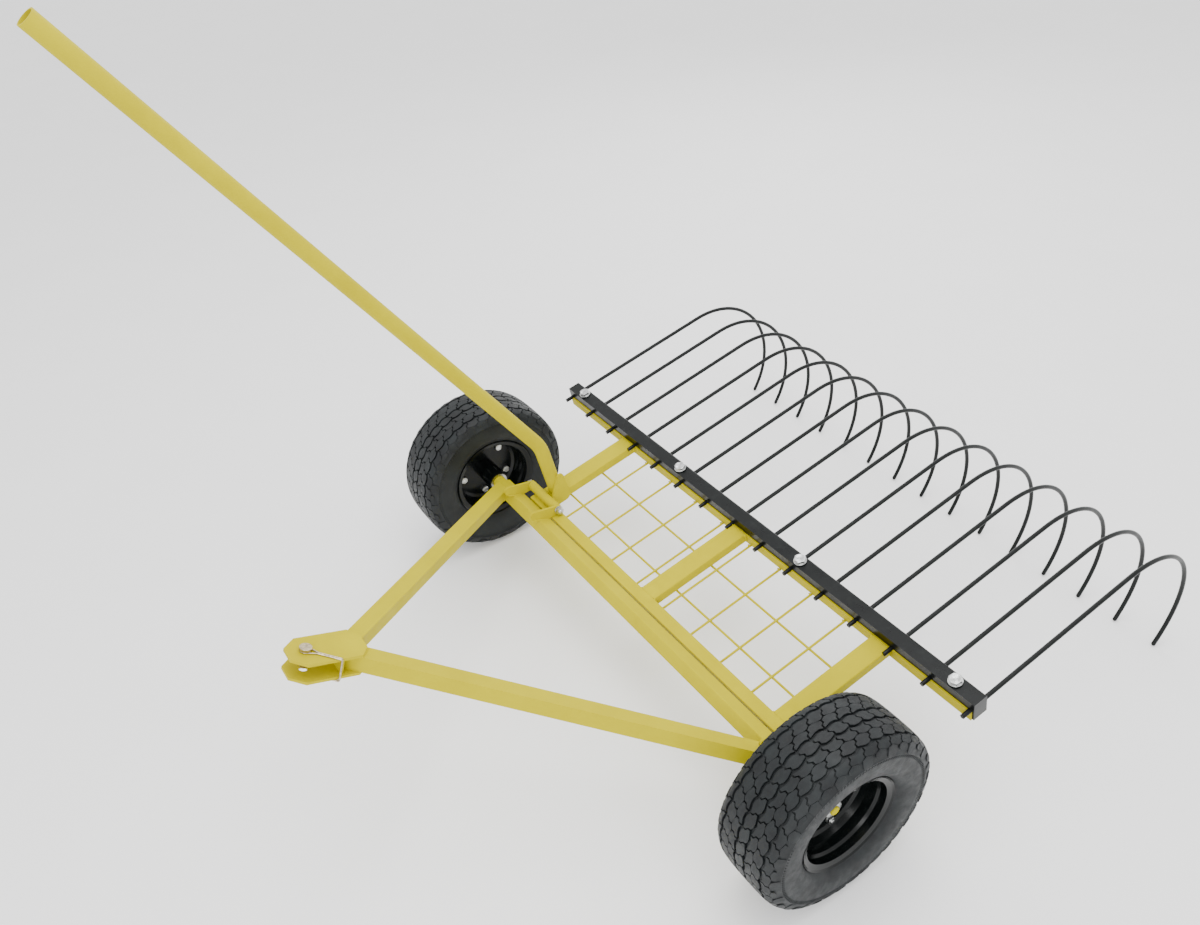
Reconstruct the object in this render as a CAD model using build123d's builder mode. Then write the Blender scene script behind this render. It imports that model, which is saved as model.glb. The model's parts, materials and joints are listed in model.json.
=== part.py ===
from build123d import *
import os
from math import asin, atan2, cos, degrees, hypot, radians, sin, tan

# Tow-behind tine rake (lawn dethatcher) on two turf wheels, lifted by a hand lever.
# +X is the left wheel's side, -Y is the direction of travel, +Z is up. Millimetres.
# The ground is z = 0, under the wheels and the tine tips.

os.makedirs("parts", exist_ok=True)

# ---------------------------------------------------------------- driving sizes
# Wheels and axle
TYRE_RADIUS = 206.0
TREAD_WIDTH = 142.0
TYRE_WIDTH = 160.0
TREAD_THICKNESS = 9.0
SIDEWALL_THICKNESS = 6.0
BEAD_RADIUS = 101.0
RIM_HALF_WIDTH = 62.0
RIM_FLANGE_RADIUS = 114.0
RIM_DISC_RADIUS = 82.0
RIM_SHEET = 2.5
WHEEL_X = 665.0
HUB_INBOARD = 84.0
HUB_OUTBOARD = 8.0
BEARING_RADIUS = 23.5
HUB_WALL = 3.5
HUB_RADIUS = BEARING_RADIUS + HUB_WALL
BEARING_WIDTH = 12.0
SPINDLE_RADIUS = 12.5
RIM_BOLT_COUNT = 5
RIM_BOLT_CIRCLE = 68.0
VALVE_RADIUS = 5.0

# Tow frame
TONGUE_RISE = 22.1
BEAM_SIZE = 35.0
BEAM_WALL = 3.0
BEAM_HALF_LENGTH = 559.0
ARM_ANGLE = 39.0
ARM_FRONT = 706.0
CLEVIS_PLATE = 6.0
CLEVIS_HALF_WIDTH = 42.0
CLEVIS_NOSE = 805.0
CLEVIS_REAR = 655.0
PIN_HOLE_Y = -770.0
PIN_RADIUS = 8.0
PIN_HEAD_RADIUS = 12.0
KEEPER_WIRE = 3.0

# Rake frame
FRAME_GAP = 3.0
RAIL_WIDTH = 30.0
FRAME_HEIGHT = 25.0
FRAME_WALL = 3.0
MEMBER_WIDTH = 50.0
FRAME_RIGHT = -459.0
FRAME_LEFT = 507.0
FRAME_REAR = 304.0
ANGLE_SHEET = 3.0
ANGLE_HALF_LENGTH = 716.0
MESH_WIRE = 5.5
MESH_PITCH = 104.0
MESH_LONG_WIRES = 8
MESH_CROSS_WIRES = 2
MESH_CENTRE_X = 12.0
MESH_FRONT_Y = 97.0

# Clamp bars and tines
BAR_WIDTH = 35.0
BAR_HEIGHT = 25.0
BAR_WALL = 5.0
BAR_HALF_LENGTH = 721.0
TINE_COUNT = 15
TINE_PITCH = 101.6
TINE_DIAMETER = 10.0
TINE_STUB = 22.0
TINE_STRAIGHT = 420.0
TINE_BEND_RADIUS = 223.0
TINE_BEND_ANGLE = 134.0
CLAMP_BOLT_SPACING = 440.0

# Rake pivot, on top of the front rail
PIVOT_Y = 27.0
SLEEVE_RADIUS = 12.0
PIVOT_BOLT_RADIUS = 6.0
EAR_SHEET = 6.0
EAR_OUTER_X = -486.0
EAR_INNER_X = -357.0
LEFT_EAR_X = 514.0

# Lift lever
LEVER_Y = 66.0
LEVER_RADIUS = 18.0
LEVER_WALL = 3.0
LEVER_BEND_HEIGHT = 156.0
LEVER_BEND = 22.6
LEVER_BEND_RADIUS = 120.0
LEVER_REACH = 1366.0

# Clearances
RUNNING_FIT = 0.08
SIDE_GAP = 0.5
BOLT_HOLE_GAP = 0.25

# ---------------------------------------------------------------- derived places
BAR_FRONT = FRAME_REAR + ANGLE_SHEET
BAR_REAR = BAR_FRONT + BAR_WIDTH
BAR_MIDDLE = (BAR_FRONT + BAR_REAR) / 2
TINE_RADIUS = TINE_DIAMETER / 2
TINE_FRONT = BAR_FRONT - TINE_STUB
BEND_START = BAR_REAR + TINE_STRAIGHT
BEND_TURN = radians(TINE_BEND_ANGLE)
TIP_Y = BEND_START + TINE_BEND_RADIUS * sin(BEND_TURN)
TIP_Z = TINE_BEND_RADIUS * (cos(BEND_TURN) - 1)
RISE = radians(TONGUE_RISE)

# The beam's centre is on the axle. The two frames share the line at the top
# of the beam's rear face, so its height fixes both.
SHARED_Z = TYRE_RADIUS + BEAM_SIZE / 2 * (cos(RISE) - sin(RISE))
# The rake frame tilts until the rounded tine tips rest on the ground.
RAKE_TILT = asin((TINE_RADIUS - SHARED_Z) / hypot(TIP_Y, TIP_Z)) - atan2(TIP_Z, TIP_Y)
# The middle of the overall length is at y = 0.
LOW_PLATE = BEAM_SIZE + CLEVIS_PLATE
FRONT_REACH = CLEVIS_NOSE * cos(RISE) + LOW_PLATE * sin(RISE)
REAR_REACH = (
    BEND_START * cos(RAKE_TILT)
    + TINE_BEND_RADIUS * (1 + sin(RAKE_TILT))
    + TINE_RADIUS
)
SHARED_Y = (FRONT_REACH - REAR_REACH) / 2
AXLE_Y = SHARED_Y - BEAM_SIZE / 2 * (cos(RISE) + sin(RISE))
AXLE = (0, AXLE_Y, TYRE_RADIUS)


def tilted(turn):
    """The frame plane through the shared line, turned about X by an angle in radians."""
    return Plane(origin=(0, SHARED_Y, SHARED_Z), x_dir=(1, 0, 0), z_dir=(0, -sin(turn), cos(turn)))


def across(frame, x):
    """A plane square to X at x: its own x runs rearward and its own y runs up the frame."""
    return Plane(
        origin=frame.from_local_coords(Vector(x, 0, 0)),
        x_dir=frame.y_dir,
        z_dir=frame.x_dir,
    )


def facing(frame, y):
    """A plane square to the frame's y: its own x runs along X, and +extrude runs forward."""
    return Plane(
        origin=frame.from_local_coords(Vector(0, y, 0)),
        x_dir=frame.x_dir,
        z_dir=-frame.y_dir,
    )


TONGUE = tilted(-RISE)
RAKE = tilted(RAKE_TILT)
ORBIT = Plane(origin=AXLE, x_dir=(0, 1, 0), z_dir=(1, 0, 0))


def save(part, label):
    """Name a finished piece and write it."""
    part.label = label
    export_step(part, f"parts/{label}.step")


def tube_section(width, height, wall):
    """A hollow rectangle with rounded corners, at the sketch's current locations."""
    RectangleRounded(width, height, wall)
    Rectangle(width - 2 * wall, height - 2 * wall, mode=Mode.SUBTRACT)


def hexagon(across_flats):
    """A hexagon of the given size across its flats."""
    RegularPolygon(across_flats / 2, 6, major_radius=False)


# ---------------------------------------------------------------- tow frame
with BuildPart() as beam:
    with BuildSketch(across(TONGUE, 0)):
        with Locations((-BEAM_SIZE / 2, -BEAM_SIZE / 2)):
            tube_section(BEAM_SIZE, BEAM_SIZE, BEAM_WALL)
    extrude(amount=BEAM_HALF_LENGTH, both=True)
save(beam.part, "axle_beam")

# Stub axles: a plug inside the beam, a collar, the spindle and its threaded end
PLUG_LENGTH = 60.0
PLUG_RADIUS = BEAM_SIZE / 2 - BEAM_WALL
COLLAR_RADIUS = BEAM_SIZE / 2
THREAD_RADIUS = SPINDLE_RADIUS - 2.5
HUB_INNER_END = WHEEL_X - HUB_INBOARD
HUB_OUTER_END = WHEEL_X + HUB_OUTBOARD
WASHER_THICKNESS = 3.0
AXLE_NUT_FLATS = 36.0
AXLE_NUT_HEIGHT = 14.0
WASHER_START = HUB_OUTER_END + SIDE_GAP
NUT_START = WASHER_START + WASHER_THICKNESS
SPINDLE_END = NUT_START + AXLE_NUT_HEIGHT + 4.0


def stub_axle(side, label):
    """One stub axle, on the side whose x has the given sign."""
    steps = [
        (BEAM_HALF_LENGTH - PLUG_LENGTH, BEAM_HALF_LENGTH, PLUG_RADIUS),
        (BEAM_HALF_LENGTH, HUB_INNER_END - SIDE_GAP, COLLAR_RADIUS),
        (HUB_INNER_END - SIDE_GAP, NUT_START, SPINDLE_RADIUS),
        (NUT_START, SPINDLE_END, THREAD_RADIUS),
    ]
    with BuildPart() as axle:
        for start, end, radius in steps:
            with BuildSketch(ORBIT.offset(side * start)):
                Circle(radius)
            extrude(amount=side * (end - start))
        chamfer(axle.faces().sort_by(Axis.X)[-1 if side > 0 else 0].edges(), 1.5)
    save(axle.part, label)


stub_axle(1, "left_stub_axle")
stub_axle(-1, "right_stub_axle")

with BuildPart() as washers:
    for side in (-1, 1):
        with BuildSketch(ORBIT.offset(side * WASHER_START)):
            Circle(20)
            Circle(SPINDLE_RADIUS, mode=Mode.SUBTRACT)
        extrude(amount=side * WASHER_THICKNESS)
save(washers.part, "axle_washers")

with BuildPart() as axle_nuts:
    for side in (-1, 1):
        with BuildSketch(ORBIT.offset(side * NUT_START)):
            hexagon(AXLE_NUT_FLATS)
            Circle(THREAD_RADIUS, mode=Mode.SUBTRACT)
        extrude(amount=side * AXLE_NUT_HEIGHT)
save(axle_nuts.part, "axle_nuts")

# Hitch arms: square tubes, flat against the beam and mitred together at the clevis
ARM_SLOPE = tan(radians(ARM_ANGLE))
ARM_SPREAD = BEAM_SIZE / cos(radians(ARM_ANGLE))
WALL_SPREAD = BEAM_WALL / cos(radians(ARM_ANGLE))


def arm_x(y, inset):
    """The arm's outer edge at y, moved inward along X."""
    return BEAM_HALF_LENGTH + ARM_SLOPE * (y + BEAM_SIZE) - inset


def hitch_arm(side, label):
    """One arm of the tow frame's A."""
    inner_end = -BEAM_SIZE - (BEAM_HALF_LENGTH - ARM_SPREAD) / ARM_SLOPE
    outline = [
        (arm_x(-BEAM_SIZE, 0), -BEAM_SIZE),
        (arm_x(-BEAM_SIZE, ARM_SPREAD), -BEAM_SIZE),
        (0, inner_end),
        (0, -ARM_FRONT),
        (arm_x(-ARM_FRONT, 0), -ARM_FRONT),
    ]
    hollow = [
        (arm_x(0, WALL_SPREAD), 0),
        (arm_x(0, ARM_SPREAD - WALL_SPREAD), 0),
        (arm_x(-2 * ARM_FRONT, ARM_SPREAD - WALL_SPREAD), -2 * ARM_FRONT),
        (arm_x(-2 * ARM_FRONT, WALL_SPREAD), -2 * ARM_FRONT),
    ]
    with BuildPart() as arm:
        with BuildSketch(TONGUE):
            Polygon(*[(side * x, y) for x, y in outline], align=None)
        extrude(amount=-BEAM_SIZE)
        with BuildSketch(TONGUE.offset(-BEAM_WALL)):
            Polygon(*[(side * x, y) for x, y in hollow], align=None)
        extrude(amount=-(BEAM_SIZE - 2 * BEAM_WALL), mode=Mode.SUBTRACT)
    save(arm.part, label)


hitch_arm(1, "left_hitch_arm")
hitch_arm(-1, "right_hitch_arm")


def clevis_outline():
    """The clevis plate in plan: a blunt nose in front, short corners behind."""
    half = [
        (18, -CLEVIS_NOSE),
        (CLEVIS_HALF_WIDTH, -CLEVIS_NOSE + 27),
        (CLEVIS_HALF_WIDTH, -CLEVIS_REAR - 18),
        (20, -CLEVIS_REAR),
    ]
    Polygon(*half, *[(-x, y) for x, y in reversed(half)], align=None)


def clevis_plate(bottom, hole_radius, label):
    """One clevis plate whose lower face is at the given height in the tow frame."""
    with BuildPart() as plate:
        with BuildSketch(TONGUE.offset(bottom)):
            clevis_outline()
            with Locations((0, PIN_HOLE_Y)):
                Circle(hole_radius, mode=Mode.SUBTRACT)
        extrude(amount=CLEVIS_PLATE)
    save(plate.part, label)


HITCH_HOLE_RADIUS = 8.5
clevis_plate(0, PIN_RADIUS + RUNNING_FIT, "clevis_top_plate")
clevis_plate(-BEAM_SIZE - CLEVIS_PLATE, HITCH_HOLE_RADIUS, "clevis_bottom_plate")

with BuildPart() as web:
    with BuildSketch(facing(TONGUE, -ARM_FRONT)):
        with Locations((0, -BEAM_SIZE / 2)):
            Rectangle(2 * CLEVIS_HALF_WIDTH - 12, BEAM_SIZE)
    extrude(amount=5)
save(web.part, "clevis_web")

# Hitch pin: its head stands off the plate by the keeper's wire
KEEPER_LIFT = 0.5
HEAD_BOTTOM = CLEVIS_PLATE + KEEPER_WIRE + 2 * KEEPER_LIFT
PIN_TIP = -31.0
HEAD_HEIGHT = 6.0
with BuildPart() as pin:
    with BuildSketch(TONGUE.offset(PIN_TIP)):
        with Locations((0, PIN_HOLE_Y)):
            Circle(PIN_RADIUS)
    extrude(amount=HEAD_BOTTOM - PIN_TIP)
    chamfer(pin.faces().sort_by(Axis.Z)[0].edges(), 2)
    with BuildSketch(TONGUE.offset(HEAD_BOTTOM)):
        with Locations((0, PIN_HOLE_Y)):
            Circle(PIN_HEAD_RADIUS)
    extrude(amount=HEAD_HEIGHT)
    fillet(pin.faces().sort_by(Axis.Z)[-1].edges(), 1.2)
save(pin.part, "hitch_pin")

# Keeper: one wire, looped round the pin's neck, over the plate's side and hooked beneath
KEEPER_Z = CLEVIS_PLATE + KEEPER_LIFT + KEEPER_WIRE / 2
HOOK_Z = -BEAM_SIZE - CLEVIS_PLATE - KEEPER_LIFT - KEEPER_WIRE / 2
LOOP_RADIUS = PIN_RADIUS + 0.4 + KEEPER_WIRE / 2
LEG_SPACING = KEEPER_WIRE / 2 + 0.2
KEEPER_SIDE = CLEVIS_HALF_WIDTH + KEEPER_LIFT + KEEPER_WIRE / 2 + LEG_SPACING
KEEPER_Y = 54.0
# The loop's two legs leave it on tangents and come together at LOOP_JOIN
LOOP_TURN = radians(20)
LOOP_ALONG = LOOP_RADIUS * sin(LOOP_TURN)
LOOP_BESIDE = LOOP_RADIUS * cos(LOOP_TURN)
LOOP_JOIN = LOOP_ALONG + (LOOP_BESIDE - LEG_SPACING) / tan(LOOP_TURN)


def keeper_point(along, beside, z):
    """A point of the keeper, from the pin's axis towards the bend over the plate's side."""
    reach = hypot(KEEPER_SIDE, KEEPER_Y)
    run_x = KEEPER_SIDE / reach
    run_y = KEEPER_Y / reach
    x = along * run_x + beside * run_y
    y = PIN_HOLE_Y + along * run_y - beside * run_x
    return TONGUE.from_local_coords(Vector(x, y, z))


KEEPER_REACH = hypot(KEEPER_SIDE, KEEPER_Y)
HOOK_LENGTH = 16.0
KEEPER_BEND = 3.0


def keeper_leg(turn):
    """One leg's corners, from the loop to the hook's end. turn is 1 or -1, for its side."""
    beside = turn * LEG_SPACING
    return [
        keeper_point(LOOP_ALONG, turn * LOOP_BESIDE, KEEPER_Z),
        keeper_point(LOOP_JOIN, beside, KEEPER_Z),
        keeper_point(KEEPER_REACH, beside, KEEPER_Z),
        keeper_point(KEEPER_REACH, beside, HOOK_Z),
        keeper_point(KEEPER_REACH - HOOK_LENGTH, beside, HOOK_Z),
    ]


with BuildPart() as keeper:
    with BuildLine():
        first_leg = FilletPolyline(*reversed(keeper_leg(-1)), radius=KEEPER_BEND)
        loop_back = keeper_point(-LOOP_RADIUS, 0, KEEPER_Z)
        ThreePointArc(keeper_leg(-1)[0], loop_back, keeper_leg(1)[0])
        FilletPolyline(*keeper_leg(1), radius=KEEPER_BEND)
    with BuildSketch(Plane(origin=first_leg @ 0, z_dir=first_leg % 0)):
        Circle(KEEPER_WIRE / 2)
    sweep()
save(keeper.part, "pin_keeper")

# ---------------------------------------------------------------- rake pivot
# The pivot's place in the tow frame, from its place on the rake's front rail
PIVOT = RAKE.from_local_coords(Vector(0, PIVOT_Y, SLEEVE_RADIUS))
PIVOT_IN_TONGUE = TONGUE.to_local_coords(PIVOT)
EAR_RADIUS = SLEEVE_RADIUS - SIDE_GAP
EAR_FRONT = -52.0
PIVOT_PLANE = Plane(origin=PIVOT, x_dir=(0, 1, 0), z_dir=(1, 0, 0))

with BuildPart() as ears:
    for ear_x in (EAR_OUTER_X, EAR_INNER_X, LEFT_EAR_X):
        with BuildSketch(across(TONGUE, ear_x)):
            with Locations((EAR_FRONT, EAR_RADIUS)):
                Circle(EAR_RADIUS)
            with Locations((PIVOT_IN_TONGUE.Y, PIVOT_IN_TONGUE.Z)):
                Circle(EAR_RADIUS)
            with Locations((-BEAM_SIZE, 1), (-6, 1)):
                Rectangle(2, 2)
            make_hull()
            with Locations((PIVOT_IN_TONGUE.Y, PIVOT_IN_TONGUE.Z)):
                Circle(PIVOT_BOLT_RADIUS, mode=Mode.SUBTRACT)
        extrude(amount=EAR_SHEET)
save(ears.part, "pivot_ears")

SLEEVE_START = EAR_OUTER_X + EAR_SHEET + SIDE_GAP
SLEEVE_END = EAR_INNER_X - SIDE_GAP
with BuildPart() as sleeve:
    with BuildSketch(PIVOT_PLANE.offset(SLEEVE_START)):
        Circle(SLEEVE_RADIUS)
        Circle(PIVOT_BOLT_RADIUS + RUNNING_FIT, mode=Mode.SUBTRACT)
    extrude(amount=SLEEVE_END - SLEEVE_START)
save(sleeve.part, "pivot_sleeve")

PIVOT_HEAD = 8.0
PIVOT_FLATS = 19.0
PIVOT_NUT = 10.0
EAR_OUTER_FACE = EAR_INNER_X + EAR_SHEET
with BuildPart() as pivot_bolts:
    with BuildSketch(PIVOT_PLANE.offset(EAR_OUTER_X - PIVOT_HEAD)):
        hexagon(PIVOT_FLATS)
    extrude(amount=PIVOT_HEAD)
    with BuildSketch(PIVOT_PLANE.offset(EAR_OUTER_X)):
        Circle(PIVOT_BOLT_RADIUS)
    extrude(amount=EAR_OUTER_FACE + PIVOT_NUT + 5 - EAR_OUTER_X)
    with BuildSketch(PIVOT_PLANE.offset(FRAME_LEFT)):
        Circle(PIVOT_BOLT_RADIUS)
    extrude(amount=LEFT_EAR_X + EAR_SHEET - FRAME_LEFT)
    with BuildSketch(PIVOT_PLANE.offset(LEFT_EAR_X + EAR_SHEET)):
        hexagon(PIVOT_FLATS)
    extrude(amount=PIVOT_HEAD)
save(pivot_bolts.part, "pivot_bolts")

with BuildPart() as pivot_nut:
    with BuildSketch(PIVOT_PLANE.offset(EAR_OUTER_FACE)):
        hexagon(PIVOT_FLATS)
        Circle(PIVOT_BOLT_RADIUS, mode=Mode.SUBTRACT)
    extrude(amount=PIVOT_NUT)
save(pivot_nut.part, "pivot_nut")

# ---------------------------------------------------------------- rake frame
RAIL_REAR = FRAME_GAP + RAIL_WIDTH
TINE_XS = [(i - (TINE_COUNT - 1) / 2) * TINE_PITCH for i in range(TINE_COUNT)]
with BuildPart() as rail:
    with BuildSketch(across(RAKE, FRAME_RIGHT)):
        with Locations((FRAME_GAP + RAIL_WIDTH / 2, -FRAME_HEIGHT / 2)):
            tube_section(RAIL_WIDTH, FRAME_HEIGHT, FRAME_WALL)
    extrude(amount=FRAME_LEFT - FRAME_RIGHT)
save(rail.part, "front_rail")

MEMBER_CENTRES = {
    "right_side_member": FRAME_RIGHT + MEMBER_WIDTH / 2,
    "middle_member": (FRAME_RIGHT + FRAME_LEFT) / 2,
    "left_side_member": FRAME_LEFT - MEMBER_WIDTH / 2,
}
for label, centre in MEMBER_CENTRES.items():
    with BuildPart() as member:
        with BuildSketch(facing(RAKE, RAIL_REAR)):
            with Locations((centre, -FRAME_HEIGHT / 2)):
                tube_section(MEMBER_WIDTH, FRAME_HEIGHT, FRAME_WALL)
        extrude(amount=-(FRAME_REAR - RAIL_REAR))
        with BuildSketch(facing(RAKE, FRAME_REAR)):
            with Locations(*[(x, 0) for x in TINE_XS]):
                Rectangle(TINE_DIAMETER, TINE_DIAMETER)
        extrude(amount=FRAME_REAR - TINE_FRONT, mode=Mode.SUBTRACT)
    save(member.part, label)

LEFT_EAR_SHEET = LEFT_EAR_X - 1.0 - FRAME_LEFT
with BuildPart() as rail_ear:
    with BuildSketch(across(RAKE, FRAME_LEFT)):
        with Locations((FRAME_GAP + RAIL_WIDTH / 2, -FRAME_HEIGHT / 2)):
            Rectangle(RAIL_WIDTH, FRAME_HEIGHT)
        with Locations((PIVOT_Y, SLEEVE_RADIUS)):
            Circle(SLEEVE_RADIUS)
        make_hull()
        with Locations((PIVOT_Y, SLEEVE_RADIUS)):
            Circle(PIVOT_BOLT_RADIUS + RUNNING_FIT, mode=Mode.SUBTRACT)
    extrude(amount=LEFT_EAR_SHEET)
save(rail_ear.part, "left_rail_ear")

BOLT_XS = [(i - 1.5) * CLAMP_BOLT_SPACING for i in range(4)]
CLAMP_BOLT_RADIUS = 8.0
CLAMP_FLATS = 24.0
ANGLE_BOTTOM = -BAR_HEIGHT - ANGLE_SHEET

# Rear angle: a lip in front of the clamp bars, notched for the tines, and a shelf below
with BuildPart() as angle:
    with BuildSketch(across(RAKE, -ANGLE_HALF_LENGTH)):
        with BuildLine():
            Polyline(
                (FRAME_REAR, 0),
                (BAR_FRONT, 0),
                (BAR_FRONT, -BAR_HEIGHT),
                (BAR_REAR, -BAR_HEIGHT),
                (BAR_REAR, ANGLE_BOTTOM),
                (FRAME_REAR, ANGLE_BOTTOM),
                close=True,
            )
        make_face()
    extrude(amount=2 * ANGLE_HALF_LENGTH)
    with BuildSketch(facing(RAKE, BAR_FRONT)):
        with Locations(*[(x, 0) for x in TINE_XS]):
            Circle(TINE_RADIUS)
    extrude(amount=ANGLE_SHEET, mode=Mode.SUBTRACT)
    with BuildSketch(RAKE.offset(ANGLE_BOTTOM)):
        with Locations(*[(x, BAR_MIDDLE) for x in BOLT_XS]):
            Circle(CLAMP_BOLT_RADIUS + BOLT_HOLE_GAP)
    extrude(amount=ANGLE_SHEET, mode=Mode.SUBTRACT)
save(angle.part, "rear_angle")


def clamp_bar(bottom, label):
    """One clamp bar: a tube with closed ends and half-round seats for the tines."""
    middle = bottom + BAR_HEIGHT / 2
    rear_top = 4.0 if bottom == 0 else 1.5
    with BuildPart() as bar:
        with BuildSketch(across(RAKE, -BAR_HALF_LENGTH)):
            with Locations((BAR_MIDDLE, middle)):
                Rectangle(BAR_WIDTH, BAR_HEIGHT)
            fillet(vertices().group_by(Axis.Y)[-1].group_by(Axis.X)[-1], rear_top)
        extrude(amount=2 * BAR_HALF_LENGTH)
        with BuildSketch(across(RAKE, -BAR_HALF_LENGTH + BAR_WALL)):
            with Locations((BAR_MIDDLE, middle)):
                Rectangle(BAR_WIDTH - 2 * BAR_WALL, BAR_HEIGHT - 2 * BAR_WALL)
        extrude(amount=2 * (BAR_HALF_LENGTH - BAR_WALL), mode=Mode.SUBTRACT)
        with BuildSketch(facing(RAKE, BAR_REAR)):
            with Locations(*[(x, 0) for x in TINE_XS]):
                Circle(TINE_RADIUS)
        extrude(amount=BAR_WIDTH, mode=Mode.SUBTRACT)
        with BuildSketch(RAKE.offset(bottom)):
            with Locations(*[(x, BAR_MIDDLE) for x in BOLT_XS]):
                Circle(CLAMP_BOLT_RADIUS + BOLT_HOLE_GAP)
        extrude(amount=BAR_HEIGHT, mode=Mode.SUBTRACT)
    save(bar.part, label)


clamp_bar(-BAR_HEIGHT, "lower_clamp_bar")
clamp_bar(0, "upper_clamp_bar")

with BuildPart() as clamp_bolts:
    with BuildSketch(RAKE.offset(BAR_HEIGHT)):
        with Locations(*[(x, BAR_MIDDLE) for x in BOLT_XS]):
            hexagon(CLAMP_FLATS)
    extrude(amount=10)
    with BuildSketch(RAKE.offset(BAR_HEIGHT)):
        with Locations(*[(x, BAR_MIDDLE) for x in BOLT_XS]):
            Circle(CLAMP_BOLT_RADIUS)
    extrude(amount=ANGLE_BOTTOM - 17 - BAR_HEIGHT)
save(clamp_bolts.part, "clamp_bolts")

with BuildPart() as clamp_nuts:
    with BuildSketch(RAKE.offset(ANGLE_BOTTOM)):
        with Locations(*[(x, BAR_MIDDLE) for x in BOLT_XS]):
            hexagon(CLAMP_FLATS)
            Circle(CLAMP_BOLT_RADIUS, mode=Mode.SUBTRACT)
    extrude(amount=-13)
save(clamp_nuts.part, "clamp_nuts")

# Mesh panel: long wires welded under the rail, cross wires under those
LONG_Z = -FRAME_HEIGHT - MESH_WIRE / 2
CROSS_Z = LONG_Z - MESH_WIRE + 0.5
LONG_START = RAIL_REAR - 20
MESH_XS = [
    MESH_CENTRE_X + (i - (MESH_LONG_WIRES - 1) / 2) * MESH_PITCH
    for i in range(MESH_LONG_WIRES)
]
MESH_YS = [MESH_FRONT_Y + i * MESH_PITCH for i in range(MESH_CROSS_WIRES)]
with BuildPart() as mesh:
    with BuildSketch(facing(RAKE, LONG_START)):
        with Locations(*[(x, LONG_Z) for x in MESH_XS]):
            Circle(MESH_WIRE / 2)
    extrude(amount=-(FRAME_REAR - LONG_START))
    with BuildSketch(across(RAKE, FRAME_RIGHT + 15)):
        with Locations(*[(y, CROSS_Z) for y in MESH_YS]):
            Circle(MESH_WIRE / 2)
    extrude(amount=FRAME_LEFT - FRAME_RIGHT - 30)
save(mesh.part, "mesh_panel")

# ---------------------------------------------------------------- tines
for number, tine_x in enumerate(TINE_XS, start=1):
    with BuildPart() as tine:
        with BuildLine(across(RAKE, tine_x)) as tine_path:
            Line((TINE_FRONT, 0), (BEND_START, 0))
            CenterArc(
                (BEND_START, -TINE_BEND_RADIUS),
                TINE_BEND_RADIUS,
                90,
                -TINE_BEND_ANGLE,
            )
        with BuildSketch(facing(RAKE, TINE_FRONT)):
            with Locations((tine_x, 0)):
                Circle(TINE_RADIUS)
        sweep()
        with Locations(RAKE.from_local_coords(Vector(tine_x, TIP_Y, TIP_Z))):
            Sphere(TINE_RADIUS)
    save(tine.part, f"tine_{number:02d}")

# ---------------------------------------------------------------- lift lever
# The lever stands on the right side member, its near side flush with the member's inner face
MEMBER_INNER = FRAME_RIGHT + MEMBER_WIDTH
LEVER_X = MEMBER_INNER - LEVER_RADIUS
LEVER_TOP_Y = LEVER_Y - LEVER_REACH * sin(radians(LEVER_BEND))
LEVER_TOP_Z = LEVER_BEND_HEIGHT + LEVER_REACH * cos(radians(LEVER_BEND))
with BuildPart() as lever:
    with BuildLine(across(RAKE, LEVER_X)):
        FilletPolyline(
            (LEVER_Y, 0),
            (LEVER_Y, LEVER_BEND_HEIGHT),
            (LEVER_TOP_Y, LEVER_TOP_Z),
            radius=LEVER_BEND_RADIUS,
        )
    with BuildSketch(RAKE):
        with Locations((LEVER_X, LEVER_Y)):
            Circle(LEVER_RADIUS)
            Circle(LEVER_RADIUS - LEVER_WALL, mode=Mode.SUBTRACT)
    sweep()
save(lever.part, "lift_lever")

GUSSET_SHEET = 6.0
with BuildPart() as gusset:
    with BuildSketch(across(RAKE, MEMBER_INNER)):
        with Locations((80, 52)):
            Circle(10)
        with Locations((74, -FRAME_HEIGHT + 18)):
            Circle(18)
        with Locations((RAIL_REAR + 12, -FRAME_HEIGHT / 2 - 3)):
            Rectangle(24, FRAME_HEIGHT - 6)
        make_hull()
    extrude(amount=GUSSET_SHEET)
save(gusset.part, "lever_gusset")

# ---------------------------------------------------------------- wheels
WHEEL_AXIS = Axis(AXLE, (1, 0, 0))
TREAD_HALF = TREAD_WIDTH / 2
TYRE_HALF = TYRE_WIDTH / 2
BELLY_RADIUS = (TYRE_RADIUS + BEAD_RADIUS) / 2 + 2.5
CROWN = 2.5
SHOULDER_DROP = 16.0
RIM_BOLT_RADIUS = 5.0
RIM_BOLT_FLATS = 17.0
RIM_BOLT_HEAD = 6.4
RIM_NUT_HEIGHT = 8.0
HUB_BORE = 18.0
VALVE_LENGTH = 34.0
VALVE_TILT = 50.0


def mirrored(points):
    """Half a section, then its mirror image across the wheel's middle."""
    return points + [(r, -x) for r, x in reversed(points)]


def turned(x, side, outline, label, cut=None):
    """A ring about the axle. The outline's points are radius and distance outboard of x."""
    section = Plane(origin=(x, AXLE_Y, TYRE_RADIUS), x_dir=(0, 0, 1), z_dir=(0, side, 0))
    with BuildPart() as ring:
        with BuildSketch(section):
            with BuildLine():
                Polyline(*outline, close=True)
            make_face()
        revolve(axis=WHEEL_AXIS)
        if cut is not None:
            add(cut, mode=Mode.SUBTRACT)
    save(ring.part, label)


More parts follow.
